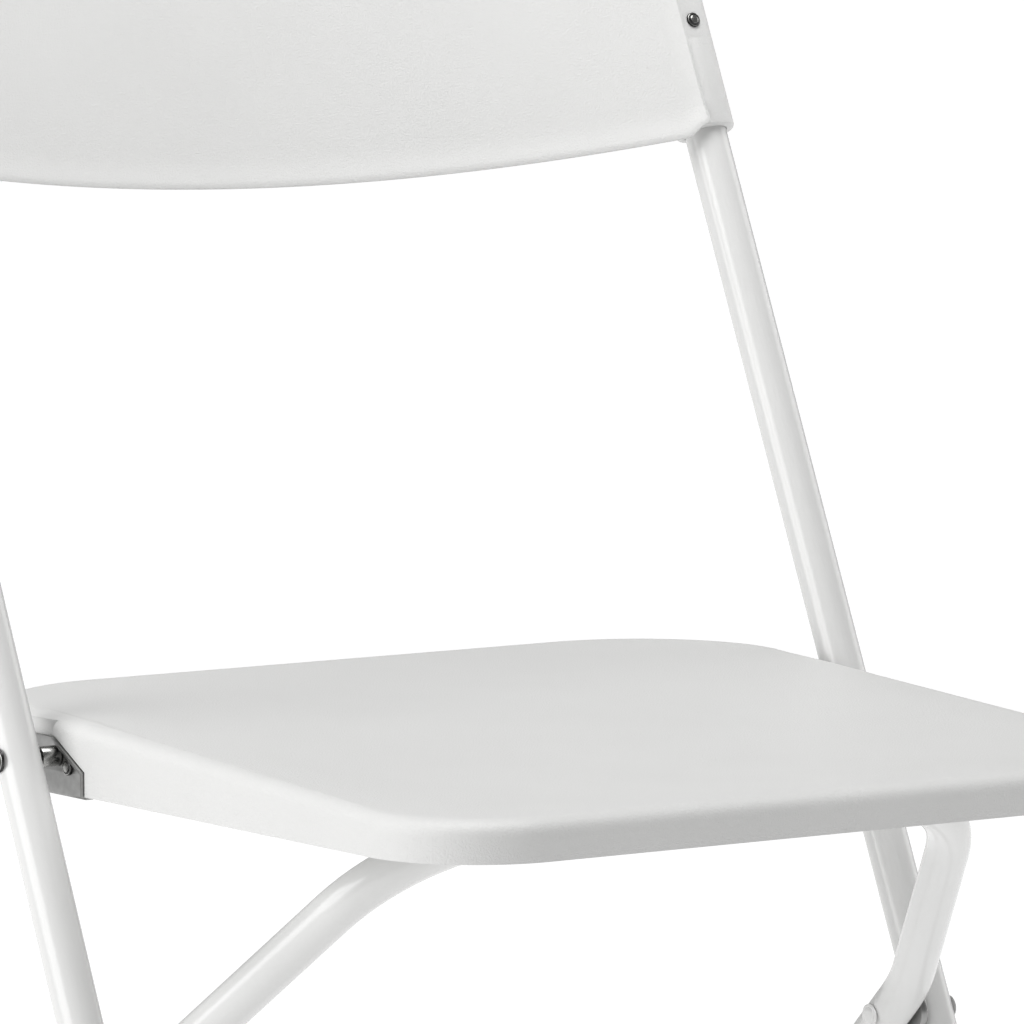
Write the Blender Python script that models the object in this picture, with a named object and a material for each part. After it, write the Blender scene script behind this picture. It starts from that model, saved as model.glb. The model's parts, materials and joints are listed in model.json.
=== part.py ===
"""Folding chair: moulded seat and back on a scissor frame of round steel tube.

World frame: +Z up, the chair faces -Y, floor at Z = 0. The front-leg tubes run straight from
the front feet, past the seat, up into the back panel. The seat turns on rivets through them,
and the rear-leg hoop turns on rivets lower down and carries the seat on its crossbar.
"""
import bpy
import bmesh
from math import cos, pi, radians, sin, tan
from mathutils import Matrix, Vector

for item in list(bpy.data.objects):
    bpy.data.objects.remove(item, do_unlink=True)

mm = 0.001

# Driving dimensions
seat_height = 412 * mm            # floor to the bottom of the seat's skirt
frame_y = 8.17 * mm               # where the front-leg axis crosses that height
front_lean = radians(24.43)       # front legs and back, from the vertical
rear_lean = radians(46.0)         # rear legs, from the vertical
tube_radius = 9.525 * mm
tube_wall = 1.2 * mm
front_spread = 215 * mm           # half the spacing of the front-leg tubes
rear_spread = 191.5 * mm          # half the spacing of the rear-leg tubes
seat_pivot_height = seat_height + 15 * mm
scissor_height = seat_height - 121 * mm
clearance = 0.35 * mm

seat_half_width = 197 * mm
seat_front = -281 * mm            # measured from frame_y
seat_back = 107 * mm
seat_front_top = 17.5 * mm        # skirt bottom to the rim of the top, at the front
seat_back_top = 32.6 * mm
seat_fall = 13.5 * mm             # part of that difference lost in the slope down to the front
fall_start, fall_length = 0.1, 0.75  # where the slope lies, as shares of the seat's depth
seat_front_radius = 52 * mm
seat_back_radius = 75 * mm
least_corner = 8 * mm              # of the inner rings
seat_dish = 4.5 * mm
seat_shell = 4 * mm
skirt_wall = 3.2 * mm
skirt_relief = 15 * mm            # how far the skirt rises at the back, clear of the hoop

back_bottom = 261.5 * mm          # along the front leg, from the seat pivot
back_height = 191.5 * mm
back_hollow = 36 * mm             # depth of the curve across the back
back_shell = 4 * mm
sleeve_radius = 13.5 * mm
back_crown = 9 * mm
back_sag = 1.9 * mm
back_drop = 2.8 * mm              # how far the panel hangs below its sleeves

knee = 22 * mm                    # scissor pivot to the bend inwards, along the rear leg
hoop_inward = 0.50                # inward travel for each unit of height
crossbar_height = seat_height - 3 * mm
shoulder_radius = 72 * mm
knee_radius = 70 * mm

rib = 1.3 * mm                     # half a rib's thickness
rib_bottom = 12.8 * mm
cross_rib_rise = 1.7 * mm
rib_front, rib_back = -225 * mm, 92 * mm
rib_places = (-120 * mm, -40 * mm, 40 * mm, 120 * mm)
cross_ribs = ((-120 * mm, 194.5 * mm), (-60 * mm, 194.5 * mm), (62 * mm, 184 * mm))   # y, half length

cheek_front, cheek_back = -26 * mm, 46 * mm
cheek_low, cheek_high = 2 * mm, 26.5 * mm
cheek_inner, cheek_outer = 183.7 * mm, 195 * mm
pocket_face = 193.6 * mm
pocket_outline = ((-23.1, -25), (-23.1, -4.7), (2.4, 9.2), (2.4, 14.3), (37.2, 14.3), (37.2, -25))
bracket_outline = ((-22.5, -15.4), (-22.5, -5), (-0.5, 7.2), (33, 7.5), (35, 2), (35, -15.4))
bracket_inner = pocket_face + clearance
bracket_outer = bracket_inner + 2.0 * mm
flange_inner = 178 * mm
flange_drop = 2.2 * mm
bracket_shank = 2.0 * mm
bracket_hole = 2.4 * mm
bracket_head = 3.5 * mm
bracket_rivets = ((-8.5 * mm, -4 * mm), (24 * mm, -4 * mm))    # y and z from the seat pivot
spacer_radius = 5 * mm

rivet_shank = 3.0 * mm
rivet_head = 5.2 * mm
washer_radius = 12.5 * mm
foot_radius = 12.7 * mm
foot_length = 34 * mm
brace_radius = 7 * mm
brace_height = 150 * mm
tab = 1.6 * mm                     # half thickness of a brace's flattened end
tab_half, tab_height = 13 * mm, 9.5 * mm
press = 16 * mm                    # length over which the bar goes from flat to round

white_steel = ("white_steel", (0.83, 0.83, 0.82), 0.28, 0.0)
white_plastic = ("white_plastic", (0.74, 0.74, 0.73), 0.5, 0.0)
zinc = ("zinc", (0.42, 0.42, 0.41), 0.38, 1.0)
nylon = ("nylon", (0.78, 0.78, 0.76), 0.45, 0.0)
rubber = ("rubber", (0.70, 0.70, 0.69), 0.6, 0.0)


# Frames of reference

leg_up = Vector((0, sin(front_lean), cos(front_lean)))
leg_front = Vector((0, -cos(front_lean), sin(front_lean)))


def on_front_leg(height):
    return Vector((0, frame_y + (height - seat_height) * tan(front_lean), height))


seat_pivot = on_front_leg(seat_pivot_height)
scissor = on_front_leg(scissor_height)
rear_up = Vector((0, -sin(rear_lean), cos(rear_lean)))
rear_back = Vector((0, cos(rear_lean), sin(rear_lean)))
bracket_rivet_spots = [seat_pivot + Vector((0, y, z)) for y, z in bracket_rivets]


def leg_point(x, along, forward=0.0):
    """A point beside the front legs: along them from the seat pivot, and in front of their axis."""
    return Vector((x, 0, 0)) + seat_pivot + leg_up * along + leg_front * forward


def frame(origin, x_axis, y_axis, z_axis):
    matrix = Matrix((x_axis, y_axis, z_axis)).transposed().to_4x4()
    matrix.translation = origin
    return matrix


leg_frame = frame(seat_pivot, Vector((1, 0, 0)), leg_up, leg_front)


# Mesh helpers

def material(finish):
    name, colour, roughness, metallic = finish
    if name in bpy.data.materials:
        return bpy.data.materials[name]
    made = bpy.data.materials.new(name)
    made.use_nodes = True
    shader = made.node_tree.nodes["Principled BSDF"]
    shader.inputs["Base Color"].default_value = (*colour, 1)
    shader.inputs["Roughness"].default_value = roughness
    shader.inputs["Metallic"].default_value = metallic
    return made


def add_object(name, bm, finish=None, smooth=35):
    bmesh.ops.recalc_face_normals(bm, faces=bm.faces)
    mesh = bpy.data.meshes.new(name)
    bm.to_mesh(mesh)
    bm.free()
    mesh.shade_smooth()
    mesh.set_sharp_from_angle(angle=radians(smooth))
    made = bpy.data.objects.new(name, mesh)
    bpy.context.scene.collection.objects.link(made)
    if finish:
        mesh.materials.append(material(finish))
    return made


def ring(bm, points):
    return [bm.verts.new(point) for point in points]


def bridge(bm, first, second):
    count = len(first)
    for i in range(count):
        j = (i + 1) % count
        bm.faces.new((first[i], first[j], second[j], second[i]))


def circle(centre, side, up, radius, count):
    return [centre + radius * (side * cos(2 * pi * i / count) + up * sin(2 * pi * i / count))
            for i in range(count)]


def combine(target, tool, operation):
    """Cuts, joins or keeps the tool's share of the target, and removes the tool."""
    modifier = target.modifiers.new("cut", "BOOLEAN")
    modifier.operation = operation
    modifier.object = tool
    modifier.solver = "EXACT"
    bpy.context.view_layer.update()
    graph = bpy.context.evaluated_depsgraph_get()
    result = bpy.data.meshes.new_from_object(target.evaluated_get(graph))
    target.modifiers.remove(modifier)
    target.data = result
    bpy.data.objects.remove(tool, do_unlink=True)
    return target


def cylinder(name, start, end, radius, count=16, finish=None):
    axis = (end - start).normalized()
    side = axis.orthogonal().normalized()
    up = axis.cross(side)
    bm = bmesh.new()
    low = ring(bm, circle(start, side, up, radius, count))
    high = ring(bm, circle(end, side, up, radius, count))
    bridge(bm, low, high)
    bm.faces.new(low)
    bm.faces.new(high)
    return add_object(name, bm, finish)


def block(name, low, high, matrix=Matrix.Identity(4)):
    bm = bmesh.new()
    bmesh.ops.create_cube(bm, size=1)
    low, high = Vector(low), Vector(high)
    for vert in bm.verts:
        vert.co = Vector([low[i] + (vert.co[i] + 0.5) * (high[i] - low[i]) for i in range(3)])
    bmesh.ops.transform(bm, matrix=matrix, verts=bm.verts)
    return add_object(name, bm)


def turned(name, centre, axis, profile, finish, count=10):
    """Revolves (distance along the axis, radius) points; the ends close on the axis."""
    side = axis.orthogonal().normalized()
    up = axis.cross(side)
    bm = bmesh.new()
    rings = [ring(bm, circle(centre + axis * along, side, up, radius, count))
             for along, radius in profile]
    for first, second in zip(rings, rings[1:]):
        bridge(bm, first, second)
    bm.faces.new(rings[0])
    bm.faces.new(rings[-1])
    return add_object(name, bm, finish)


def rounded_path(points, radii, step=radians(13)):
    """A polyline whose corners are replaced by arcs."""
    path = [points[0]]
    for before, corner, after, radius in zip(points, points[1:], points[2:], radii):
        inward, outward = (before - corner).normalized(), (after - corner).normalized()
        half = inward.angle(outward) / 2
        centre = corner + (inward + outward).normalized() * (radius / sin(half))
        start = corner + inward * (radius / tan(half)) - centre
        end = corner + outward * (radius / tan(half)) - centre
        turn = start.angle(end)
        steps = max(2, round(turn / step))
        for i in range(steps + 1):
            share = i / steps
            path.append(centre + (start * sin((1 - share) * turn) + end * sin(share * turn)) / sin(turn))
    path.append(points[-1])
    return path


def tube(name, path, finish, count=16):
    """An open-ended round tube swept along a path."""
    bm = bmesh.new()
    side = Vector((1, 0, 0))
    outer, inner = [], []
    for i, point in enumerate(path):
        direction = (path[min(i + 1, len(path) - 1)] - path[max(i - 1, 0)]).normalized()
        side = (side - direction * side.dot(direction))
        if side.length < 0.2:
            side = direction.cross(Vector((0, 1, 0)))
        side.normalize()
        up = direction.cross(side)
        outer.append(ring(bm, circle(point, side, up, tube_radius, count)))
        inner.append(ring(bm, circle(point, side, up, tube_radius - tube_wall, count)))
    for skin in (outer, inner):
        for first, second in zip(skin, skin[1:]):
            bridge(bm, first, second)
    bridge(bm, outer[0], inner[0])
    bridge(bm, outer[-1], inner[-1])
    return add_object(name, bm, finish)


def drill(target, centre, axis, radius, length, count=12):
    tool = cylinder("drill", centre - axis * length / 2, centre + axis * length / 2, radius, count)
    return combine(target, tool, "DIFFERENCE")


across = Vector((1, 0, 0))
hole_radius = rivet_shank + clearance
rivet_grip = tube_radius + clearance


def rivet(name, centre, axis, start, end, head=rivet_head, finish=zinc, washer_head=2.2 * mm):
    """A rivet whose two heads lie outside start and end, measured along the axis from centre."""
    profile = [(start - washer_head, head * 0.5), (start - washer_head * 0.6, head * 0.85),
               (start, head), (start + 0.01 * mm, rivet_shank),
               (end - 0.01 * mm, rivet_shank), (end, head),
               (end + washer_head * 0.6, head * 0.85), (end + washer_head, head * 0.5)]
    return turned(name, centre, axis, profile, finish)


# Front-leg tubes, their feet, and the brace between them

back_rivets = (52 * mm, 155 * mm)          # above the bottom of the back
tube_top = back_bottom + back_height - 12 * mm
foot_sole = 3 * mm


def tube_end_height(lean):
    return foot_sole + tube_radius * sin(lean)


def front_leg(side):
    name = "front_leg_tube_" + side
    x = front_spread if side == "left" else -front_spread
    bottom = (tube_end_height(front_lean) - seat_pivot_height) / cos(front_lean)
    made = tube(name, [leg_point(x, bottom), leg_point(x, tube_top)], white_steel)
    drill(made, leg_point(x, 0), across, hole_radius, 40 * mm)
    drill(made, Vector((x, 0, 0)) + scissor, across, hole_radius, 40 * mm)
    for along in back_rivets:
        drill(made, leg_point(x, back_bottom + along), leg_front, hole_radius, 40 * mm)
    drill(made, leg_point(x, brace_along), leg_front, hole_radius, 40 * mm)
    return made


def foot(name, x, axis_point, up_axis, lean):
    """A cup over the tube's end, cut flat where it stands on the floor."""
    end = axis_point + up_axis * ((tube_end_height(lean) - axis_point.z) / up_axis.z)
    end.x = x
    reach = up_axis * foot_length
    made = cylinder(name, end - reach, end + reach, foot_radius, 20, rubber)
    combine(made, block("floor", (x - 0.1, end.y - 0.1, -0.2), (x + 0.1, end.y + 0.1, 0)),
            "DIFFERENCE")
    bore = cylinder("bore", end - up_axis * clearance, end + reach * 1.5,
                    tube_radius + clearance, 20)
    return combine(made, bore, "DIFFERENCE")


brace_along = (brace_height - seat_pivot_height) / cos(front_lean)


def brace(name, centre, up_axis, out_axis, half_length):
    """A round bar whose ends are pressed flat into riveted tabs, seen in section along X."""
    offset = out_axis * (tube_radius + clearance + tab)
    start = -half_length
    stations = [(start - tab_half, tab_height * 0.55, tab), (start - tab_half * 0.6, tab_height, tab),
                (start + tab_half, tab_height, tab), (start + tab_half + press, brace_radius, brace_radius)]
    stations += [(-x, tall, deep) for x, tall, deep in reversed(stations)]
    bm = bmesh.new()
    rings = []
    for x, tall, deep in stations:
        middle = centre + across * x + offset
        rings.append(ring(bm, [middle + up_axis * tall * sin(2 * pi * i / 16)
                               + out_axis * deep * cos(2 * pi * i / 16) for i in range(16)]))
    for first, second in zip(rings, rings[1:]):
        bridge(bm, first, second)
    bm.faces.new(rings[0])
    bm.faces.new(rings[-1])
    made = add_object(name, bm, white_steel)
    for x in (-half_length, half_length):
        drill(made, centre + across * x + offset, out_axis, hole_radius, 10 * mm)
    return made


# Back panel: a curved shell between two sleeves that slip over the tubes

def back_front(x):
    """How far the front face lies in front of the tubes' axis."""
    share = min(1, abs(x) / (front_spread - 5 * mm))
    return 12.6 * mm - back_hollow * (1 - share ** 2)


def back_panel():
    columns, rows = 24, 8
    edge = front_spread - 6 * mm
    bm = bmesh.new()
    rings = []
    for i in range(columns + 1):
        x = -edge + 2 * edge * i / columns
        middle = 1 - (x / edge) ** 2
        low = back_bottom - back_drop - back_sag * middle
        high = back_bottom + back_height - 3 * mm + back_crown * middle
        front, rear = [], []
        for j in range(rows + 1):
            along = low + (high - low) * (1 - cos(pi * j / rows)) / 2
            lip = (1 - min(1, min(j, rows - j) / 1.5)) * 2.2 * mm
            face = back_front(x)
            front.append(Vector((x, along, face - lip)))
            rear.append(Vector((x, along, face - back_shell - lip * 0.4)))
        rings.append(ring(bm, front + rear[::-1]))
    for first, second in zip(rings, rings[1:]):
        bridge(bm, first, second)
    bm.faces.new(rings[0])
    bm.faces.new(rings[-1])
    bmesh.ops.transform(bm, matrix=leg_frame, verts=bm.verts)
    made = add_object("back_panel", bm, white_plastic)
    for sign in (-1, 1):
        combine(made, sleeve(sign), "UNION")
    for sign in (-1, 1):
        x = sign * front_spread
        bore = cylinder("bore", leg_point(x, back_bottom - 0.05), leg_point(x, tube_top + clearance),
                        tube_radius + clearance, 20)
        combine(made, bore, "DIFFERENCE")
        for along in back_rivets:
            drill(made, leg_point(x, back_bottom + along), leg_front, hole_radius, 60 * mm)
    return made


def sleeve(sign):
    """A round boss along the panel's end, with a flat land in front for the rivets."""
    x = sign * front_spread
    made = cylinder("sleeve", leg_point(x, back_bottom), leg_point(x, back_bottom + back_height),
                    sleeve_radius, 24)
    land = block("land", (x - 20 * mm, back_bottom + 41.5 * mm, 11.9 * mm),
                 (x + 20 * mm, back_bottom + back_height + 0.1, 30 * mm), leg_frame)
    return combine(made, land, "DIFFERENCE")


# Rear-leg hoop: two legs joined under the seat by a crossbar

def hoop_corners():
    end = scissor + rear_up * ((tube_end_height(rear_lean) - scissor.z) / rear_up.z)
    bend = scissor + rear_up * knee
    top = scissor + rear_up * ((crossbar_height - scissor.z) / rear_up.z)
    half = rear_spread - hoop_inward * (top.z - bend.z)
    left = [Vector((rear_spread, end.y, end.z)), Vector((rear_spread, bend.y, bend.z)),
            Vector((half, top.y, top.z))]
    return left + [Vector((-point.x, point.y, point.z)) for point in reversed(left)]


rear_brace_along = (brace_height - scissor_height) / cos(rear_lean)


def rear_hoop():
    radii = [knee_radius, shoulder_radius, shoulder_radius, knee_radius]
    made = tube("rear_leg_hoop", rounded_path(hoop_corners(), radii), white_steel)
    for sign in (-1, 1):
        spot = scissor + across * sign * rear_spread
        drill(made, spot, across, hole_radius, 40 * mm)
        drill(made, spot + rear_up * rear_brace_along, rear_back, hole_radius, 40 * mm)
    return made



# Seat: a dished shell with a skirt, ribs, and thick cheeks that carry the hinge brackets

def seat_outline(inset, per_corner=9, per_side=7):
    """Rounded rectangle in plan, wider corners at the back; the same number of points at any inset."""
    half = seat_half_width - inset
    front, back = seat_front + inset, seat_back - inset
    arcs = []
    for sign_x, edge, start, radius in ((1, front, -90, seat_front_radius), (1, back, 0, seat_back_radius),
                                        (-1, back, 90, seat_back_radius), (-1, front, 180, seat_front_radius)):
        radius = max(radius - inset, least_corner)
        centre = Vector((sign_x * (half - radius), edge + radius if edge == front else edge - radius))
        turns = [radians(start) + pi / 2 * i / (per_corner - 1) for i in range(per_corner)]
        arcs.append([centre + radius * Vector((cos(turn), sin(turn))) for turn in turns])
    points = []
    for arc, after in zip(arcs, arcs[1:] + arcs[:1]):
        points += arc + [arc[-1].lerp(after[0], i / per_side) for i in range(1, per_side)]
    return points


def seat_top(x, y):
    """Height of the top face above the skirt's bottom: a shallow dish, falling away at the front."""
    share = (y - seat_front) / (seat_back - seat_front)
    fall = min(1, max(0, (share - fall_start) / fall_length))
    rim = seat_front_top + (seat_back_top - seat_front_top - seat_fall) * share
    rim += seat_fall * fall * fall * (3 - 2 * fall)
    hollow = max(0, 1 - (x / 0.17) ** 2) * max(0, 1 - ((y + 0.085) / 0.17) ** 2)
    return rim - seat_dish * hollow


def skirt_bottom(y):
    share = min(1, max(0, (y - 45 * mm) / (25 * mm)))
    return skirt_relief * share * share * (3 - 2 * share)


def seat_shell_object():
    def at(point, height):
        return Vector((point[0], frame_y + point[1], seat_height + height))

    bm = bmesh.new()
    rings = []
    for inset in (180 * mm, 140 * mm, 95 * mm, 45 * mm, 18 * mm):
        rings.append([at(p, seat_top(*p) - seat_shell) for p in seat_outline(inset)])
    rings.append([at(p, seat_top(*p) - seat_shell) for p in seat_outline(skirt_wall)])
    rings.append([at(p, skirt_bottom(p[1])) for p in seat_outline(skirt_wall)])
    rings.append([at(p, skirt_bottom(p[1])) for p in seat_outline(0)])
    rings.append([at(p, seat_top(*p) - 5.5 * mm) for p in seat_outline(0)])
    for inset, drop in ((1.6 * mm, 1.8 * mm), (5.5 * mm, 0.1 * mm)):
        rings.append([at(p, seat_top(*p) - drop) for p in seat_outline(inset)])
    for inset in (18 * mm, 45 * mm, 95 * mm, 140 * mm, 180 * mm):
        rings.append([at(p, seat_top(*p)) for p in seat_outline(inset)])
    made = [ring(bm, points) for points in rings]
    for first, second in zip(made, made[1:]):
        bridge(bm, first, second)
    bm.faces.new(made[0])
    bm.faces.new(made[-1])
    bmesh.ops.triangulate(bm, faces=bm.faces)
    return add_object("seat_shell", bm, white_plastic)


def side_plate(name, outline, inner, outer):
    """A plate square to X, its outline given as (y, z) in mm from the seat pivot."""
    bm = bmesh.new()
    loops = [ring(bm, [Vector((x, seat_pivot.y + y * mm, seat_pivot.z + z * mm)) for y, z in outline])
             for x in (inner, outer)]
    bridge(bm, *loops)
    bm.faces.new(loops[0])
    bm.faces.new(loops[1])
    return add_object(name, bm)


def seat_rib(start, end, bottom, stations=12):
    """A thin upright wall under the seat whose top edge stays inside the top's thickness."""
    start, end = Vector((*start, 0)), Vector((*end, 0))
    beside = (end - start).cross(Vector((0, 0, 1))).normalized() * rib
    bm = bmesh.new()
    rings = []
    for i in range(stations):
        spot = start.lerp(end, i / (stations - 1))
        top = seat_top(spot.x, spot.y) - seat_shell / 2
        corners = [(spot - beside, bottom), (spot + beside, bottom), (spot + beside, top), (spot - beside, top)]
        rings.append(ring(bm, [Vector((point.x, frame_y + point.y, seat_height + height))
                               for point, height in corners]))
    for first, second in zip(rings, rings[1:]):
        bridge(bm, first, second)
    bm.faces.new(rings[0])
    bm.faces.new(rings[-1])
    return add_object("rib", bm)


def seat():
    made = seat_shell_object()
    base = Vector((0, frame_y, seat_height))

    for x in rib_places:
        combine(made, seat_rib((x, rib_front), (x, rib_back), rib_bottom), "UNION")
    for y, half in cross_ribs:
        combine(made, seat_rib((-half, y), (half, y), rib_bottom + cross_rib_rise), "UNION")
    for sign in (-1, 1):
        inner, outer = sorted((sign * cheek_inner, sign * cheek_outer))
        cheek = block("cheek", base + Vector((inner, cheek_front, cheek_low)),
                      base + Vector((outer, cheek_back, cheek_high)))
        combine(made, cheek, "UNION")
    for sign in (-1, 1):
        combine(made, side_plate("pocket", pocket_outline, sign * pocket_face, sign * 0.21), "DIFFERENCE")
        drill(made, seat_pivot + across * sign * 190 * mm, across, hole_radius, 30 * mm)
        for spot in bracket_rivet_spots:
            drill(made, spot + across * sign * 190 * mm, across, bracket_hole, 30 * mm)
    return made


def hinge_bracket(side):
    """A pressed plate on the seat's cheek, turned in under the skirt."""
    sign = 1 if side == "left" else -1
    made = side_plate("hinge_bracket_" + side, bracket_outline, sign * bracket_inner, sign * bracket_outer)
    made.data.materials.append(material(zinc))
    inner, outer = sorted((sign * flange_inner, sign * bracket_outer))
    flange = block("flange", (inner, seat_pivot.y + bracket_outline[0][0] * mm, seat_height - flange_drop),
                   (outer, seat_pivot.y + bracket_outline[-1][0] * mm, seat_height - clearance))
    combine(made, flange, "UNION")
    drill(made, seat_pivot + across * sign * 195 * mm, across, hole_radius, 20 * mm)
    for spot in bracket_rivet_spots:
        drill(made, spot + across * sign * 195 * mm, across, bracket_hole, 20 * mm)
    return made


def saddle(side):
    """A pad under the seat on which the crossbar bears."""
    sign = 1 if side == "left" else -1
    crossbar_y = hoop_corners()[2].y
    low = crossbar_height + tube_radius + clearance
    inner, outer = sorted((sign * 60 * mm, sign * 96 * mm))
    made = block("crossbar_saddle_" + side, (inner, crossbar_y - 14 * mm, low),
                 (outer, crossbar_y + 14 * mm, seat_height + rib_bottom - clearance))
    made.data.materials.append(material(nylon))
    return made


# Assembly

def pivot_empty(name, location):
    made = bpy.data.objects.new(name, None)
    made.location = location
    bpy.context.scene.collection.objects.link(made)
    return made


def hang(children, empty):
    """Gives each piece its origin on the joint's axis without moving it."""
    for piece in children:
        piece.data.transform(Matrix.Translation(-empty.location))
        piece.parent = empty


def build():
    frame_pieces, rear_pieces, seat_pieces = [], [], []
    frame_pieces.append(back_panel())
    frame_pieces.append(brace("front_brace", leg_point(0, brace_along), leg_up, leg_front, front_spread))
    rear_brace_centre = scissor + rear_up * rear_brace_along
    rear_pieces.append(rear_hoop())
    rear_pieces.append(brace("rear_brace", rear_brace_centre, rear_up, rear_back, rear_spread))
    seat_pieces.append(seat())
    tab_face = tube_radius + clearance + 3.2 * mm + clearance
    for side, sign in (("left", 1), ("right", -1)):
        x = sign * front_spread
        frame_pieces.append(front_leg(side))
        frame_pieces.append(foot("front_foot_" + side, x, scissor, leg_up, front_lean))
        for level, along in zip(("lower", "upper"), back_rivets):
            spot = leg_point(x, back_bottom + along)
            frame_pieces.append(rivet(f"back_rivet_{level}_{side}", spot, leg_front,
                                      -sleeve_radius - clearance, 11.9 * mm + clearance, 4 * mm,
                                      washer_head=1.4 * mm))
        frame_pieces.append(rivet("front_brace_rivet_" + side, leg_point(x, brace_along), leg_front,
                                  -rivet_grip, tab_face, washer_head=1.6 * mm))
        washer_inner = rear_spread + tube_radius + clearance
        washer_outer = front_spread - tube_radius - clearance
        washer_profile = [(washer_inner, hole_radius), (washer_inner, washer_radius),
                          (washer_outer, washer_radius), (washer_outer, hole_radius)]
        frame_pieces.append(collar("scissor_washer_" + side, scissor, sign, washer_profile, nylon))
        frame_pieces.append(rivet("scissor_rivet_" + side, scissor, across * sign,
                                  rear_spread - rivet_grip, front_spread + rivet_grip, washer_head=0.9 * mm))
        frame_pieces.append(rivet("seat_pivot_rivet_" + side, seat_pivot, across * sign,
                                  cheek_inner - clearance, front_spread + rivet_grip))
        spacer_profile = [(bracket_outer + clearance, hole_radius), (bracket_outer + clearance, spacer_radius),
                          (washer_outer, spacer_radius), (washer_outer, hole_radius)]
        frame_pieces.append(collar("seat_spacer_" + side, seat_pivot, sign, spacer_profile, nylon))
        rear_pieces.append(foot("rear_foot_" + side, sign * rear_spread, scissor, rear_up, rear_lean))
        rear_pieces.append(rivet("rear_brace_rivet_" + side, rear_brace_centre + across * sign * rear_spread,
                                 rear_back, -rivet_grip, tab_face, washer_head=1.6 * mm))
        seat_pieces.append(hinge_bracket(side))
        seat_pieces.append(saddle(side))
        for place, spot in zip(("front", "rear"), bracket_rivet_spots):
            seat_pieces.append(bracket_rivet(f"bracket_rivet_{place}_{side}", spot, sign))
    hang(rear_pieces, pivot_empty("rear_leg_pivot", scissor))
    hang(seat_pieces, pivot_empty("seat_pivot", seat_pivot))


def collar(name, centre, sign, profile, finish, count=16):
    """A ring turned about X: the profile runs from the bore out and back to the bore."""
    bm = bmesh.new()
    up, side = Vector((0, 0, 1)), Vector((0, 1, 0))
    rings = [ring(bm, circle(centre + across * sign * along, side, up, radius, count))
             for along, radius in profile]
    for first, second in zip(rings, rings[1:] + rings[:1]):
        bridge(bm, first, second)
    return add_object(name, bm, finish)


def bracket_rivet(name, spot, sign):
    shank, head = bracket_shank, bracket_head
    start, end = cheek_inner - clearance, bracket_outer + clearance
    profile = [(start - 1.0 * mm, head * 0.7), (start, head), (start + 0.01 * mm, shank),
               (end - 0.01 * mm, shank), (end, head), (end + 1.2 * mm, head * 0.7)]
    return turned(name, spot, across * sign, profile, zinc)


build()
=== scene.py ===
import bpy
import json
from math import cos, exp, pi, radians, sin, sqrt, tan
from mathutils import Matrix, Vector


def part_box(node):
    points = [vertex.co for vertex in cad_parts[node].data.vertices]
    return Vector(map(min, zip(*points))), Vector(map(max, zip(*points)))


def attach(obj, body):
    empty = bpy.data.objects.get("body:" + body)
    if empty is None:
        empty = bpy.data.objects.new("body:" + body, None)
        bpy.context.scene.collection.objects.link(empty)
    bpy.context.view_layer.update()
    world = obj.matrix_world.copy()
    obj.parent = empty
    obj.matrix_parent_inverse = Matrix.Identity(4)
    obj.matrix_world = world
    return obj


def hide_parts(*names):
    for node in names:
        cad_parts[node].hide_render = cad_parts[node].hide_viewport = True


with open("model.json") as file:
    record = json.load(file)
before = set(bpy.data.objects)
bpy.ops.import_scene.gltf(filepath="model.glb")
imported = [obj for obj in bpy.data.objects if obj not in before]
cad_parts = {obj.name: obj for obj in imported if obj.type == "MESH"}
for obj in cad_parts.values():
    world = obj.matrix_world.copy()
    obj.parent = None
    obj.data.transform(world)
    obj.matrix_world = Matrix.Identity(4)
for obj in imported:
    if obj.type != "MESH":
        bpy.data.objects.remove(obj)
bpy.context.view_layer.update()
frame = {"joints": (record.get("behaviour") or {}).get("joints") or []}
print("frame loaded")

mm = 0.001
clearance = 0.35 * mm                                 # between pieces that fit into each other
boltHole = 3.4 * mm
through = 40 * mm                                     # long enough to cross any tube
across = Vector((1, 0, 0))
joints = {joint["name"]: Vector(joint["pos_m"]) for joint in frame["joints"]}
seatPivot = joints["seat_fold"]
scissorPivot = joints["rear_leg_fold"]
legUp = (seatPivot - scissorPivot).normalized()       # up the front legs and the back
legFront = across.cross(legUp)                        # square to them, towards the front
sides = (("left", 1), ("right", -1))


def legPoint(x, along, forward=0.0):
    return seatPivot + across * x + legUp * along + legFront * forward


def frameMatrix(origin, xAxis, yAxis, zAxis):
    matrix = Matrix((xAxis, yAxis, zAxis)).transposed().to_4x4()
    matrix.translation = origin
    return matrix


# Small tools

def deselect():
    if bpy.context.mode != "OBJECT":
        bpy.ops.object.mode_set(mode="OBJECT")
    bpy.ops.object.select_all(action="DESELECT")


def pick(piece):
    deselect()
    piece.select_set(True)
    bpy.context.view_layer.objects.active = piece


def justAdded(name):
    piece = bpy.context.active_object
    piece.name = name
    piece.data.name = name
    return piece


def settle(piece, matrix=None):
    # place, turn and size go into the mesh, so the object stays at the origin
    pick(piece)
    if matrix is not None:
        piece.matrix_world = matrix
    bpy.ops.object.transform_apply(location=True, rotation=True, scale=True)
    return piece


def facingOut(piece):
    pick(piece)
    bpy.ops.object.mode_set(mode="EDIT")
    bpy.ops.mesh.select_all(action="SELECT")
    bpy.ops.mesh.remove_doubles(threshold=0.00001)
    bpy.ops.mesh.normals_make_consistent(inside=False)
    bpy.ops.object.mode_set(mode="OBJECT")
    return piece


def smooth(piece, angle=35):
    pick(piece)
    bpy.ops.object.shade_smooth_by_angle(angle=radians(angle))
    return piece


def applied(piece, kind, **settings):
    pick(piece)
    modifier = piece.modifiers.new(kind.lower(), kind)
    for key, value in settings.items():
        setattr(modifier, key, value)
    bpy.ops.object.modifier_apply(modifier=modifier.name)
    return piece


def cut(piece, tool, operation="DIFFERENCE"):
    applied(piece, "BOOLEAN", object=tool, operation=operation, solver="EXACT")
    bpy.data.objects.remove(tool, do_unlink=True)
    return piece


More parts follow.
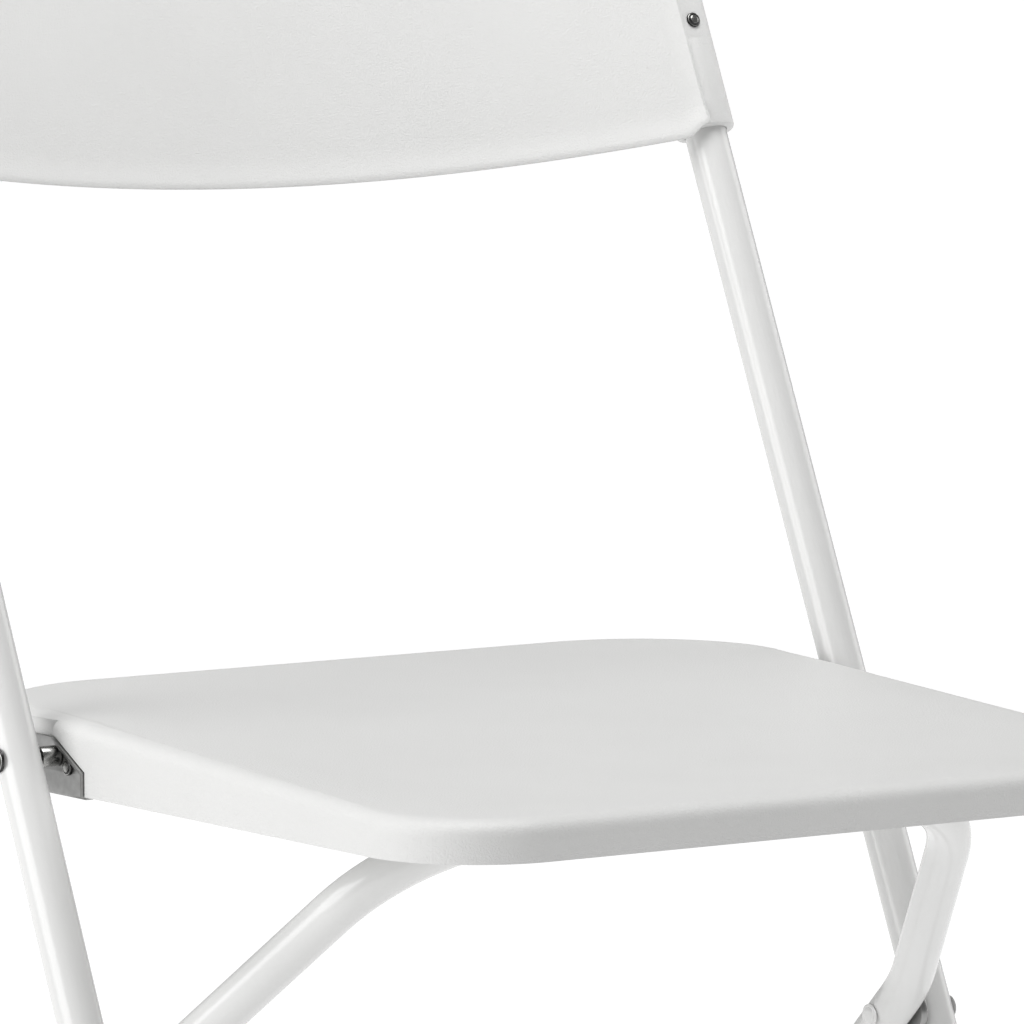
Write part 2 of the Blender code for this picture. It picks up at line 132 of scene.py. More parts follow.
def alongAxis(origin, direction):
    return frameMatrix(origin, *axesAround(direction))


def axesAround(direction):
    direction = direction.normalized()
    side = across if abs(direction.x) < 0.9 else Vector((0, 1, 0))
    side = (side - direction * side.dot(direction)).normalized()
    return side, direction.cross(side), direction


def lofted(name, stations, matrix, segments=48):
    # rings of (distance along the axis, half width, half depth), from one end to the other
    deselect()
    start, wide, deep = stations[0]
    bpy.ops.mesh.primitive_circle_add(vertices=segments, radius=1, fill_type="NGON",
                                      location=(0, 0, start))
    piece = justAdded(name)
    bpy.ops.object.mode_set(mode="EDIT")
    bpy.ops.mesh.select_all(action="SELECT")
    bpy.ops.transform.resize(value=(wide, deep, 1), center_override=(0, 0, start))
    for (before, oldWide, oldDeep), (after, newWide, newDeep) in zip(stations, stations[1:]):
        bpy.ops.mesh.extrude_region_move(TRANSFORM_OT_translate={"value": (0, 0, after - before)})
        bpy.ops.transform.resize(value=(newWide / oldWide, newDeep / oldDeep, 1),
                                 center_override=(0, 0, after))
    bpy.ops.object.mode_set(mode="OBJECT")
    settle(piece)
    settle(piece, matrix)
    return facingOut(piece)


def turned(name, profile, origin, direction, segments=48):
    return lofted(name, [(place, radius, radius) for place, radius in profile], alongAxis(origin, direction),
                  segments)


def drill(piece, centre, direction, radius, length):
    tool = turned("tool", [(-length / 2, radius), (length / 2, radius)], centre, direction, 40)
    return cut(piece, tool)


def box(name, low, high, matrix=Matrix.Identity(4)):
    deselect()
    low, high = Vector(low), Vector(high)
    bpy.ops.mesh.primitive_cube_add(size=1, location=(low + high) / 2)
    piece = justAdded(name)
    piece.scale = [abs(size) for size in high - low]
    settle(piece)
    return settle(piece, matrix)


def rounded(piece, width, segments=3, angle=30):
    return applied(piece, "BEVEL", width=width, segments=segments, limit_method="ANGLE",
                   angle_limit=radians(angle), harden_normals=False)


def finished(piece, finish, body, slotName, *nodes, angle=35):
    smooth(piece, angle)
    piece.data.materials.clear()
    piece.data.materials.append(finish)
    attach(piece, body)
    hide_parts(*nodes)
    return piece


# Materials

def linear(code):
    channels = [int(code[i:i + 2], 16) / 255 for i in (0, 2, 4)]
    return [c / 12.92 if c <= 0.04045 else ((c + 0.055) / 1.055) ** 2.4 for c in channels] + [1]


def addNode(tree, kind, settings=None, links=None):
    node = tree.nodes.new(kind)
    for key, value in (settings or {}).items():
        if isinstance(key, int) or key in node.inputs:
            node.inputs[key].default_value = value
        else:
            setattr(node, key, value)
    for key, socket in (links or {}).items():
        tree.links.new(socket, node.inputs[key])
    return node


def newMaterial(name, **values):
    material = bpy.data.materials.new(name)
    material.use_nodes = True
    tree = material.node_tree
    shader = tree.nodes["Principled BSDF"]
    for key, value in values.items():
        shader.inputs[key.replace("_", " ")].default_value = value
    place = addNode(tree, "ShaderNodeTexCoord").outputs["Object"]
    return material, tree, shader, place


def noise(tree, place, size, detail, **more):
    return addNode(tree, "ShaderNodeTexNoise", {"Scale": 1 / size, "Detail": detail, **more},
                   {"Vector": place}).outputs[0]


def twoTones(tree, colour, shade, factor):
    mix = addNode(tree, "ShaderNodeMix", {"data_type": "RGBA", 6: linear(colour), 7: linear(shade)},
                  {0: factor})
    return mix.outputs[2]


def roughness(tree, lowHigh, value):
    low, high = lowHigh
    return addNode(tree, "ShaderNodeMapRange", {"To Min": low, "To Max": high}, {"Value": value}).outputs[0]


def bump(tree, strength, distance, height):
    return addNode(tree, "ShaderNodeBump", {"Strength": strength, "Distance": distance},
                   {"Height": height}).outputs[0]


def wire(tree, shader, colour, rough, normal=None):
    tree.links.new(colour, shader.inputs["Base Color"])
    tree.links.new(rough, shader.inputs["Roughness"])
    if normal:
        tree.links.new(normal, shader.inputs["Normal"])


plasticLook = {"colour": "D5D5D4", "shade": "D0D0CF", "flow": 60 * mm, "grain": 0.9 * mm,
               "rough": (0.42, 0.56), "bump": 0.6, "depth": 0.5 * mm}


def mouldedPolypropylene():
    # white polypropylene from a lightly textured mould: a soft sheen broken by fine pebble grain
    material, tree, shader, place = newMaterial("mouldedPolypropylene", Metallic=0.0, IOR=1.49)
    flow = noise(tree, place, plasticLook["flow"], 2.0)
    grain = noise(tree, place, plasticLook["grain"], 3.0, Roughness=0.6)
    wire(tree, shader, twoTones(tree, plasticLook["colour"], plasticLook["shade"], flow),
         roughness(tree, plasticLook["rough"], grain),
         bump(tree, plasticLook["bump"], plasticLook["depth"], grain))
    return material


coatLook = {"colour": "D6D6D5", "shade": "D1D1D0", "cloud": 35 * mm, "peel": 2.2 * mm,
            "rough": (0.16, 0.24), "bump": 0.12, "depth": 0.3 * mm}


def powderCoat():
    # baked white powder coat over steel: glossy, with a faint orange peel
    material, tree, shader, place = newMaterial("powderCoat", Metallic=0.0, IOR=1.52)
    cloud = noise(tree, place, coatLook["cloud"], 2.0)
    peel = noise(tree, place, coatLook["peel"], 1.0)
    wire(tree, shader, twoTones(tree, coatLook["colour"], coatLook["shade"], cloud),
         roughness(tree, coatLook["rough"], cloud), bump(tree, coatLook["bump"], coatLook["depth"], peel))
    return material


# the second, dark pair is painted shade: it darkens the rivets' grooves and rims where shade and dark
# reflections fall
zincLook = {"blotch": 3.5 * mm, "scuff": 0.6 * mm, "rough": (0.26, 0.46), "bump": 0.15, "depth": 0.1 * mm,
            "bright": ("A3A3A2", "8C8C8B"), "paintedShade": ("4A4A4A", "2E2E2E")}


def zincPlate(name, colour, dull):
    # zinc on pressed steel: grey metal, blotched by the bath and finely scuffed
    material, tree, shader, place = newMaterial(name, Metallic=1.0)
    blotch = noise(tree, place, zincLook["blotch"], 4.0)
    scuff = noise(tree, place, zincLook["scuff"], 2.0)
    wire(tree, shader, twoTones(tree, colour, dull, blotch), roughness(tree, zincLook["rough"], blotch),
         bump(tree, zincLook["bump"], zincLook["depth"], scuff))
    return material


rivetLook = {"colour": "A6A6A4", "dull": "868684", "grain": 1.5 * mm, "rough": (0.18, 0.34)}


def nickelRivet():
    # nickel-plated rivet steel: brighter than the brackets, dulled where the die struck it
    material, tree, shader, place = newMaterial("nickelRivet", Metallic=1.0)
    blotch = noise(tree, place, rivetLook["grain"], 3.0)
    wire(tree, shader, twoTones(tree, rivetLook["colour"], rivetLook["dull"], blotch),
         roughness(tree, rivetLook["rough"], blotch))
    return material


softLook = {"colour": "DDDDDA", "shade": "D3D3CF", "grain": 1.4 * mm, "bump": 0.15, "depth": 0.3 * mm,
            "nylonRough": (0.35, 0.5), "nylonThin": 0.15, "vinylRough": (0.5, 0.65), "vinylThin": 0.05}


def softWhite(name, rough, thin):
    # unfilled white nylon or vinyl: waxy, a little see-through at its edges
    material, tree, shader, place = newMaterial(name, Metallic=0.0, IOR=1.5, Subsurface_Weight=thin,
                                                Subsurface_Scale=2 * mm)
    grain = noise(tree, place, softLook["grain"], 2.0)
    wire(tree, shader, twoTones(tree, softLook["colour"], softLook["shade"], grain),
         roughness(tree, rough, grain), bump(tree, softLook["bump"], softLook["depth"], grain))
    return material


plastic = mouldedPolypropylene()
coat = powderCoat()
zinc = zincPlate("zincPlate", *zincLook["bright"])
nickel = nickelRivet()
# a dark zinc used only as painted shade and painted dark reflection on the rivet grooves and rims
paintedShade = zincPlate("paintedShadeZinc", *zincLook["paintedShade"])
nylon = softWhite("naturalNylon", softLook["nylonRough"], softLook["nylonThin"])
vinyl = softWhite("mouldedVinyl", softLook["vinylRough"], softLook["vinylThin"])
print("materials made")


# Front-leg tubes

tubeSpec = {"radius": 9.525 * mm, "wall": 1.2 * mm, "ease": 0.4 * mm, "segments": 72}
spread = (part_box("front_leg_tube_left")[0].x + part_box("front_leg_tube_left")[1].x) / 2
backSpec = {"bottom": 261.5 * mm, "height": 191.5 * mm, "hollow": 36 * mm, "shell": 4 * mm,
            "front": 12.6 * mm, "sleeve": 13.5 * mm, "sleeveEase": 1.5 * mm, "sleeveCap": 12 * mm,
            "crown": 9 * mm, "sag": 3.2 * mm, "drop": 3.2 * mm, "lip": 11 * mm, "lipFlare": 0.16,
            "lowerCurl": 2.5 * mm, "upperCurl": 5 * mm, "topGap": 3 * mm, "edgeEase": 1.3 * mm,
            "bead": 1.3 * mm, "beadPlace": 207.5 * mm, "beadWidth": 1.8 * mm, "columns": 84, "rows": 36,
            "rivets": (52 * mm, 155 * mm), "land": 11.9 * mm, "landStart": 41.5 * mm,
            "endPlace": 198 * mm, "endLength": 10 * mm, "collar": 1.8 * mm}
braceHeight = 150 * mm
braceAlong = (braceHeight - seatPivot.z) / legUp.z


def legTube(side, sign):
    node = "front_leg_tube_" + side
    low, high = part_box(node)
    reach = tubeSpec["radius"] * sqrt(1 - legUp.z ** 2)
    bottom = (low.z + reach - seatPivot.z) / legUp.z
    top = (high.z - reach - seatPivot.z) / legUp.z
    ease, radius, wall = tubeSpec["ease"], tubeSpec["radius"], tubeSpec["wall"]
    piece = turned("legTube_" + side, [(bottom, radius - ease), (bottom + ease, radius),
                                       (top - ease, radius), (top, radius - ease)],
                   legPoint(sign * spread, 0), legUp, tubeSpec["segments"])
    bore = turned("bore", [(bottom - 10 * mm, radius - wall), (top + 10 * mm, radius - wall)],
                  legPoint(sign * spread, 0), legUp, tubeSpec["segments"])
    cut(piece, bore)
    drill(piece, legPoint(sign * spread, 0), across, boltHole, through)
    drill(piece, scissorPivot + across * sign * spread, across, boltHole, through)
    for along in backSpec["rivets"]:
        spot = legPoint(sign * spread, backSpec["bottom"] + along)
        drill(piece, spot, legFront, boltHole, through)
    drill(piece, legPoint(sign * spread, braceAlong), legFront, boltHole, through)
    return finished(piece, coat, "back_frame", "white_steel", node)


for side, sign in sides:
    legTube(side, sign)
print("front-leg tubes made")


# Rear-leg hoop

hoopSpec = {"lean": radians(46), "spread": 191.5 * mm, "knee": 22 * mm, "inward": 0.50,
            "crossbarDrop": 3 * mm, "shoulder": 72 * mm, "kneeRadius": 70 * mm, "steps": 14}
rearUp = Vector((0, -sin(hoopSpec["lean"]), cos(hoopSpec["lean"])))
rearBack = Vector((0, cos(hoopSpec["lean"]), sin(hoopSpec["lean"])))
rearBraceAlong = (braceHeight - scissorPivot.z) / rearUp.z
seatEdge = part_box("seat_shell")[0].z
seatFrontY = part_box("seat_shell")[0].y
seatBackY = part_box("seat_shell")[1].y
crossbarZ = seatEdge - hoopSpec["crossbarDrop"]


def hoopCorners():
    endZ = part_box("rear_leg_hoop")[0].z + tubeSpec["radius"] * sin(hoopSpec["lean"])
    end = scissorPivot + rearUp * ((endZ - scissorPivot.z) / rearUp.z)
    bend = scissorPivot + rearUp * hoopSpec["knee"]
    top = scissorPivot + rearUp * ((crossbarZ - scissorPivot.z) / rearUp.z)
    half = hoopSpec["spread"] - hoopSpec["inward"] * (top.z - bend.z)
    return [Vector((hoopSpec["spread"], end.y, end.z)), Vector((hoopSpec["spread"], bend.y, bend.z)),
            Vector((half, top.y, top.z)), Vector((0, top.y, top.z))]


def sweptTube(name, corners, radii):
    # a circle drawn along straight runs and spun round the bends
    direction = (corners[1] - corners[0]).normalized()
    deselect()
    bpy.ops.mesh.primitive_circle_add(vertices=tubeSpec["segments"], radius=tubeSpec["radius"])
    piece = justAdded(name)
    settle(piece, alongAxis(corners[0], direction))
    pick(piece)
    bpy.ops.object.mode_set(mode="EDIT")
    bpy.ops.mesh.select_all(action="SELECT")
    here = corners[0]
    for corner, after, radius in zip(corners[1:], corners[2:], radii):
        inward, outward = (here - corner).normalized(), (after - corner).normalized()
        half = inward.angle(outward) / 2
        start = corner + inward * (radius / tan(half))
        end = corner + outward * (radius / tan(half))
        centre = corner + (inward + outward).normalized() * (radius / sin(half))
        bpy.ops.mesh.extrude_region_move(TRANSFORM_OT_translate={"value": start - here})
        axis = (start - centre).cross(end - centre).normalized()
        bpy.ops.mesh.spin(steps=hoopSpec["steps"], angle=-(pi - 2 * half), center=centre, axis=axis)
        here = end
    bpy.ops.mesh.extrude_region_move(TRANSFORM_OT_translate={"value": corners[-1] - here})
    bpy.ops.object.mode_set(mode="OBJECT")
    return piece


def rearHoop():
    piece = sweptTube("rearHoop", hoopCorners(), [hoopSpec["kneeRadius"], hoopSpec["shoulder"]])
    facingOut(piece)
    applied(piece, "MIRROR", use_axis=(True, False, False), use_clip=True, merge_threshold=0.0001)
    facingOut(piece)
    applied(piece, "SOLIDIFY", thickness=tubeSpec["wall"], offset=-1)
    for side, sign in sides:
        spot = scissorPivot + across * sign * hoopSpec["spread"]
        drill(piece, spot, across, boltHole, through)
        drill(piece, spot + rearUp * rearBraceAlong, rearBack, boltHole, through)
    return finished(piece, coat, "rear_legs", "white_steel", "rear_leg_hoop")


rearHoop()
print("rear-leg hoop made")


# Seat shell

# places from the seat pivot, (y, z) outlines and (inset, drop) rim rings in mm
seatSpec = {"frontRadius": 52 * mm, "backRadius": 75 * mm, "frontTop": 17.5 * mm, "backTop": 32.6 * mm,
            "fall": 13.5 * mm, "fallStart": 0.1, "fallLength": 0.75,
            "dish": 4.5 * mm, "dishHalf": 170 * mm, "wall": 3.2 * mm, "grid": 9 * mm, "skirtSteps": 4,
            "relief": 15 * mm, "reliefStart": 62 * mm, "reliefLength": 25 * mm, "cornerSteps": 26,
            "web": 2.6 * mm, "ribBottom": 12.8 * mm, "crossRise": 1.7 * mm, "pivotBack": 6.814 * mm,
            "ribFront": -225 * mm, "ribBack": 92 * mm, "ribStep": 25 * mm, "ribHigh": 20 * mm,
            "cheek": 183.7 * mm, "cheekOuter": 195 * mm, "cheekFront": -26 * mm, "cheekBack": 46 * mm,
            "cheekLow": 2 * mm, "cheekHigh": 26.5 * mm, "pocket": 193.6 * mm, "pocketOuter": 210 * mm,
            "pocketOutline": ((-23.1, -25), (-23.1, -4.7), (2.4, 9.2), (2.4, 14.3), (37.2, 14.3),
                              (37.2, -25)),
            "ribsAlong": (-120 * mm, -40 * mm, 40 * mm, 120 * mm),
            "ribsAcross": ((-120 * mm, 192 * mm), (-60 * mm, 192 * mm), (62 * mm, 184 * mm)),
            "rim": ((9.5, 0.05), (7.2, 0.25), (5.2, 0.7), (3.5, 1.4), (2.1, 2.4), (1.0, 3.7),
                    (0.3, 5.3), (0, 7.2))}
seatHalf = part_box("seat_shell")[1].x
# the brackets lie in the seat's pockets and are riveted through it
bracketSpec = {"inner": 193.95 * mm, "outer": 195.95 * mm, "flange": 191.5 * mm, "flangeDrop": 1.3 * mm,
               "ease": 0.35 * mm, "rise": 2.2 * mm, "head": 3.5 * mm, "headRise": 1.1 * mm,
               "shank": 2 * mm, "hole": 2.4 * mm, "rivets": ((-8.5 * mm, -4 * mm), (24 * mm, -4 * mm)),
               "outline": ((-22.5, -15.4), (-22.5, -5), (-0.5, 7.2), (33, 7.5), (35, 2), (35, -15.4)),
               "edging": ((-22.5, -15.4), (-22.5, -5), (-0.5, 7.2), (2.3, 7.2), (-21.2, -5.8),
                          (-21.2, -15.4))}


def seatTop(x, y):
    share = (y - seatFrontY) / (seatBackY - seatFrontY)
    fall = min(1, max(0, (share - seatSpec["fallStart"]) / seatSpec["fallLength"]))
    rim = seatSpec["frontTop"] + (seatSpec["backTop"] - seatSpec["frontTop"] - seatSpec["fall"]) * share
    rim += seatSpec["fall"] * fall * fall * (3 - 2 * fall)
    middle = (seatFrontY + seatBackY) / 2
    half = seatSpec["dishHalf"]
    hollow = max(0, 1 - (x / half) ** 2) * max(0, 1 - ((y - middle) / half) ** 2)
    return rim - seatSpec["dish"] * hollow


def skirtBottom(y):
    share = min(1, max(0, (y - seatBackY + seatSpec["reliefStart"]) / seatSpec["reliefLength"]))
    return seatSpec["relief"] * share * share * (3 - 2 * share)


def sheetFacing(piece, direction):
    # an open sheet, its faces turned to look along direction
    facingOut(piece)
    if sum(face.normal.dot(direction) * face.area for face in piece.data.polygons) < 0:
        bpy.ops.object.mode_set(mode="EDIT")
        bpy.ops.mesh.select_all(action="SELECT")
        bpy.ops.mesh.flip_normals()
        bpy.ops.object.mode_set(mode="OBJECT")
    return piece


def choose(piece, kind, rule):
    # into edit mode with the vertices or faces picked that the rule holds for
    pick(piece)
    bpy.ops.object.mode_set(mode="EDIT")
    bpy.ops.mesh.select_mode(type=kind)
    bpy.ops.mesh.select_all(action="DESELECT")
    bpy.ops.object.mode_set(mode="OBJECT")
    for item in piece.data.vertices if kind == "VERT" else piece.data.polygons:
        item.select = rule(item.co if kind == "VERT" else item.center)
    bpy.ops.object.mode_set(mode="EDIT")


def slices(low, high, step):
    count = int((high - low) / step) + 1
    return [low + (high - low) * i / count for i in range(1, count)]


def seatSheet():
    # a plate with round corners: its rim rolled over in rings, its middle gridded, its edge turned down
    middleY = (seatFrontY + seatBackY) / 2
    deselect()
    bpy.ops.mesh.primitive_plane_add(size=1, location=(0, middleY, 0))
    piece = justAdded("seatShell")
    piece.scale = (2 * seatHalf, seatBackY - seatFrontY, 1)
    settle(piece)
    for radius, edgeY in ((seatSpec["frontRadius"], seatFrontY), (seatSpec["backRadius"], seatBackY)):
        choose(piece, "VERT", lambda co: abs(co.y - edgeY) < 1 * mm)
        bpy.ops.mesh.bevel(affect="VERTICES", offset=radius, segments=seatSpec["cornerSteps"], profile=0.5)
    bpy.ops.mesh.select_mode(type="FACE")
    bpy.ops.mesh.select_all(action="SELECT")
    rim = seatSpec["rim"][::-1]
    for (inset, drop), (deeper, lower) in zip(rim, rim[1:]):
        bpy.ops.mesh.inset(thickness=(deeper - inset) * mm, depth=0, use_even_offset=True)
        bpy.ops.transform.translate(value=(0, 0, (drop - lower) * mm))
    bpy.ops.mesh.inset(thickness=5 * mm, depth=0, use_even_offset=True)
    top = (rim[0][1] - rim[-1][1]) * mm
    for axis, low, high in ((0, -seatHalf, seatHalf), (1, seatFrontY, seatBackY)):
        for place in slices(low, high, seatSpec["grid"]):
            choose(piece, "FACE", lambda centre: centre.z > top - 0.01 * mm)
            bpy.ops.mesh.bisect(plane_co=(place, place, 0), plane_no=(1 - axis, axis, 0))
    choose(piece, "VERT", lambda co: co.z < 0.01 * mm)
    for step in range(seatSpec["skirtSteps"]):
        bpy.ops.mesh.extrude_region_move(TRANSFORM_OT_translate={"value": (0, 0, -1 * mm)})
    bpy.ops.object.mode_set(mode="OBJECT")
    for vert in piece.data.vertices:
        x, y, level = vert.co
        rimTop = seatTop(x, y) - (top - max(level, 0))
        share = max(0, -level / (seatSpec["skirtSteps"] * mm))
        vert.co.z = seatEdge + rimTop + (skirtBottom(y) - rimTop) * share
    return sheetFacing(piece, Vector((0, 0, 1)))


def seatRib(low, high, bottom, name="rib"):
    # a stiffening web whose top runs just inside the curved seat
    piece = box(name, low, high)
    axis = 0 if high[0] - low[0] > high[1] - low[1] else 1
    for place in slices(low[axis], high[axis], seatSpec["ribStep"]):
        choose(piece, "VERT", lambda co: True)
        bpy.ops.mesh.bisect(plane_co=(place, place, 0), plane_no=(1 - axis, axis, 0))
    bpy.ops.object.mode_set(mode="OBJECT")
    for vert in piece.data.vertices:
        up = vert.co.z > (low[2] + high[2]) / 2
        vert.co.z = seatEdge + (seatTop(vert.co.x, vert.co.y) - seatSpec["wall"] * 0.6 if up else bottom)
    return facingOut(piece)


def sidePlate(name, outline, inner, outer):
    # a plate square to X, its outline given as (y, z) in mm from the seat pivot
    deselect()
    bpy.ops.mesh.primitive_circle_add(vertices=len(outline), radius=10 * mm, fill_type="NGON")
    piece = justAdded(name)
    settle(piece)
    for vert, (y, z) in zip(piece.data.vertices, outline):
        vert.co = (inner, seatPivot.y + y * mm, seatPivot.z + z * mm)
    bpy.ops.object.mode_set(mode="EDIT")
    bpy.ops.mesh.select_all(action="SELECT")
    bpy.ops.mesh.extrude_region_move(TRANSFORM_OT_translate={"value": (outer - inner, 0, 0)})
    bpy.ops.object.mode_set(mode="OBJECT")
    return facingOut(piece)


def seatShell():
    piece = seatSheet()
    applied(piece, "SOLIDIFY", thickness=seatSpec["wall"], offset=-1, use_even_offset=True)
    facingOut(piece)
    web, base = seatSpec["web"] / 2, seatPivot.y - seatSpec["pivotBack"]
    lowest, highest = seatEdge, seatEdge + seatSpec["ribHigh"]
    for x in seatSpec["ribsAlong"]:
        rib = seatRib((x - web, base + seatSpec["ribFront"], lowest),
                      (x + web, base + seatSpec["ribBack"], highest), seatSpec["ribBottom"])
        cut(piece, rib, "UNION")
    for y, half in seatSpec["ribsAcross"]:
        rib = seatRib((-half, base + y - web, lowest), (half, base + y + web, highest),
                      seatSpec["ribBottom"] + seatSpec["crossRise"])
        cut(piece, rib, "UNION")
    for side, sign in sides:
        inner, outer = sorted((sign * seatSpec["cheek"], sign * seatSpec["cheekOuter"]))
        cheek = box("cheek", (inner, base + seatSpec["cheekFront"], seatEdge + seatSpec["cheekLow"]),
                    (outer, base + seatSpec["cheekBack"], seatEdge + seatSpec["cheekHigh"]))
        cut(piece, cheek, "UNION")
        cut(piece, sidePlate("pocket", seatSpec["pocketOutline"], sign * seatSpec["pocket"],
                             sign * seatSpec["pocketOuter"]))
        middle = seatPivot + across * sign * 190 * mm
        drill(piece, middle, across, boltHole, 30 * mm)
        for y, z in bracketSpec["rivets"]:
            drill(piece, middle + Vector((0, y, z)), across, bracketSpec["hole"], 30 * mm)
    facingOut(piece)
    return finished(piece, plastic, "seat", "white_plastic", "seat_shell", angle=40)


seatShell()
print("seat shell made")


# Hinge brackets

def hingeBracket(side, sign):
    outline = bracketSpec["outline"]
    piece = sidePlate("hingeBracket_" + side, outline, sign * bracketSpec["inner"],
                      sign * bracketSpec["outer"])
    inner, outer = sorted((sign * bracketSpec["flange"], sign * bracketSpec["outer"]))
    flange = box("flange", (inner, seatPivot.y + outline[0][0] * mm, seatEdge - bracketSpec["flangeDrop"]),
                 (outer, seatPivot.y + outline[-1][0] * mm, seatEdge - clearance))
    cut(piece, flange, "UNION")
    # the front and slanted edges are turned outward
    edging = sidePlate("edging", bracketSpec["edging"], sign * (bracketSpec["inner"] + 0.2 * mm),
                       sign * (bracketSpec["outer"] + bracketSpec["rise"]))
    cut(piece, edging, "UNION")
    middle = seatPivot + across * sign * 195 * mm
    drill(piece, middle, across, boltHole, 20 * mm)
    for y, z in bracketSpec["rivets"]:
        drill(piece, middle + Vector((0, y, z)), across, bracketSpec["hole"], 20 * mm)
    facingOut(piece)
    rounded(piece, bracketSpec["ease"], 3, 40)
    return finished(piece, zinc, "seat", "zinc_steel", "hinge_bracket_" + side)


for side, sign in sides:
    hingeBracket(side, sign)
print("hinge brackets made")


# Back panel

def backFront(x):
    share = min(1, abs(x) / (spread - 5 * mm))
    return backSpec["front"] - backSpec["hollow"] * (1 - share ** 2)


def curl(depth, radius):
    gap = max(0, radius - depth)
    return radius - sqrt(radius ** 2 - gap ** 2)


def lip(depth):
    # the lower edge is a band flared forward, broken from the face by a soft crease
    gap = max(0, backSpec["lip"] - depth)
    return curl(depth, backSpec["lowerCurl"]) * 0.6 - backSpec["lipFlare"] * gap


def backSheet():
    # the curved face, its rows and columns closer together near its edges
    deselect()
    bpy.ops.mesh.primitive_grid_add(x_subdivisions=backSpec["columns"],
                                    y_subdivisions=backSpec["rows"], size=2)
    piece = justAdded("backPanel")
    edge = spread - 6 * mm
    for vert in piece.data.vertices:
        reach = abs(vert.co.x)
        reach = 1 - (1 - reach) ** 1.35 if reach > 0 else 0
        x, middle = edge * (reach if vert.co.x > 0 else -reach), 1 - reach ** 2
        ending = min(1, max(0, (abs(x) - backSpec["endPlace"]) / backSpec["endLength"]))
        low = backSpec["bottom"] - backSpec["drop"] - backSpec["sag"] * middle
        low += (backSpec["drop"] + backSpec["collar"]) * ending * ending * (3 - 2 * ending)
        high = backSpec["bottom"] + backSpec["height"] - backSpec["topGap"] + backSpec["crown"] * middle
        along = low + (high - low) * (1 - cos(pi * (vert.co.y + 1) / 2)) / 2
        forward = backFront(x) - lip(along - low) - curl(high - along, backSpec["upperCurl"])
        vert.co = legPoint(x, along, forward)
    return sheetFacing(piece, legFront)


def sleeve(sign):
    low, high = backSpec["bottom"] + backSpec["collar"], backSpec["bottom"] + backSpec["height"]
    radius, ease = backSpec["sleeve"], backSpec["sleeveEase"]
    profile = [(low, radius - ease), (low + ease * 0.3, radius - ease * 0.3), (low + ease, radius),
               (high - ease, radius), (high - ease * 0.3, radius - ease * 0.3), (high, radius - ease)]
    piece = turned("sleeve", profile, legPoint(sign * spread, 0), legUp, tubeSpec["segments"])
    land = box("land", (sign * spread - 20 * mm, low + backSpec["landStart"], backSpec["land"]),
               (sign * spread + 20 * mm, high + 10 * mm, 30 * mm),
               frameMatrix(seatPivot, across, legUp, legFront))
    return cut(piece, land)


def backPanel():
    piece = backSheet()
    faceVerts = len(piece.data.vertices)
    applied(piece, "SOLIDIFY", thickness=backSpec["shell"], offset=-1, use_even_offset=True)
    for vert in piece.data.vertices[:faceVerts]:
        away = (abs(vert.co.x) - backSpec["beadPlace"]) / backSpec["beadWidth"]
        vert.co += legFront * backSpec["bead"] * exp(-away ** 2)
    facingOut(piece)
    rounded(piece, backSpec["edgeEase"], 3, 60)
    for side, sign in sides:
        cut(piece, sleeve(sign), "UNION")
    facingOut(piece)
    for side, sign in sides:
        top = backSpec["bottom"] + backSpec["height"] - backSpec["sleeveCap"] + clearance
        loose = tubeSpec["radius"] + clearance
        bore = turned("bore", [(backSpec["bottom"] - 50 * mm, loose), (top, loose)],
                      legPoint(sign * spread, 0), legUp, tubeSpec["segments"])
        cut(piece, bore)
        for along in backSpec["rivets"]:
            spot = legPoint(sign * spread, backSpec["bottom"] + along)
            drill(piece, spot, legFront, boltHole, 60 * mm)
    facingOut(piece)
    return finished(piece, plastic, "back_frame", "white_plastic", "back_panel", angle=40)


backPanel()
print("back panel made")


# Rivets, washers and spacers

# the braces' pressed ends come under the rivet heads
braceSpec = {"radius": 7 * mm, "tab": 1.6 * mm, "half": 13 * mm, "tall": 9.5 * mm, "press": 16 * mm,
             "steps": 7}
rivetSpec = {"shank": 3.0 * mm, "head": 5.2 * mm, "rise": 2.2 * mm, "braceRise": 1.6 * mm,
             "backHead": 3.4 * mm, "backRise": 1.4 * mm, "scissorRise": 0.9 * mm,
             "dome": ((0.12, 1.0), (0.38, 0.96), (0.58, 0.84), (0.70, 0.62), (0.74, 0.5), (0.82, 0.56),
                      (0.93, 0.5), (1.0, 0.28), (1.0, 0.0)), "groove": (0.60, 0.80), "rim": 0.95,
             "washer": 11.5 * mm, "washerEase": 0.8 * mm, "spacer": 4.4 * mm, "spacerEase": 0.4 * mm}


def rivetPiece(node, body, centre, axis, start, end, head, shank, rise, finish=nickel):
    # two struck heads on a shank; on plated ones the groove and outer rim get a dark zinc as painted shade
    # and painted dark reflection
    profile = [(start - rise * height, head * share) for share, height in rivetSpec["dome"]]
    profile += [(start + 0.02 * mm, shank), (end - 0.02 * mm, shank)]
    profile += [(start + end - place, radius) for place, radius in reversed(profile[:len(rivetSpec["dome"])])]
    piece = turned(node, profile, centre, axis, 40)
    finished(piece, finish, body, "zinc_steel", node, angle=50)
    if finish is coat:
        return piece
    # painted shade: the groove and the outer rim of each plated head get the dark zinc
    piece.data.materials.append(paintedShade)
    for face in piece.data.polygons:
        out = face.center - centre
        reach = (out - axis * out.dot(axis)).length
        groove = rivetSpec["groove"][0] < reach / head < rivetSpec["groove"][1]
        face.material_index = 1 if groove or reach / head > rivetSpec["rim"] else 0
    return piece


def ringPiece(node, body, centre, axis, start, end, radius, ease, finish, slotName):
    profile = [(start, radius - ease), (start + ease * 0.3, radius - ease * 0.3), (start + ease, radius),
               (end - ease, radius), (end - ease * 0.3, radius - ease * 0.3), (end, radius - ease)]
    piece = turned(node, profile, centre, axis, 48)
    drill(piece, centre + axis * (start + end) / 2, axis, boltHole, (end - start) * 3)
    return finished(piece, finish, body, slotName, node)


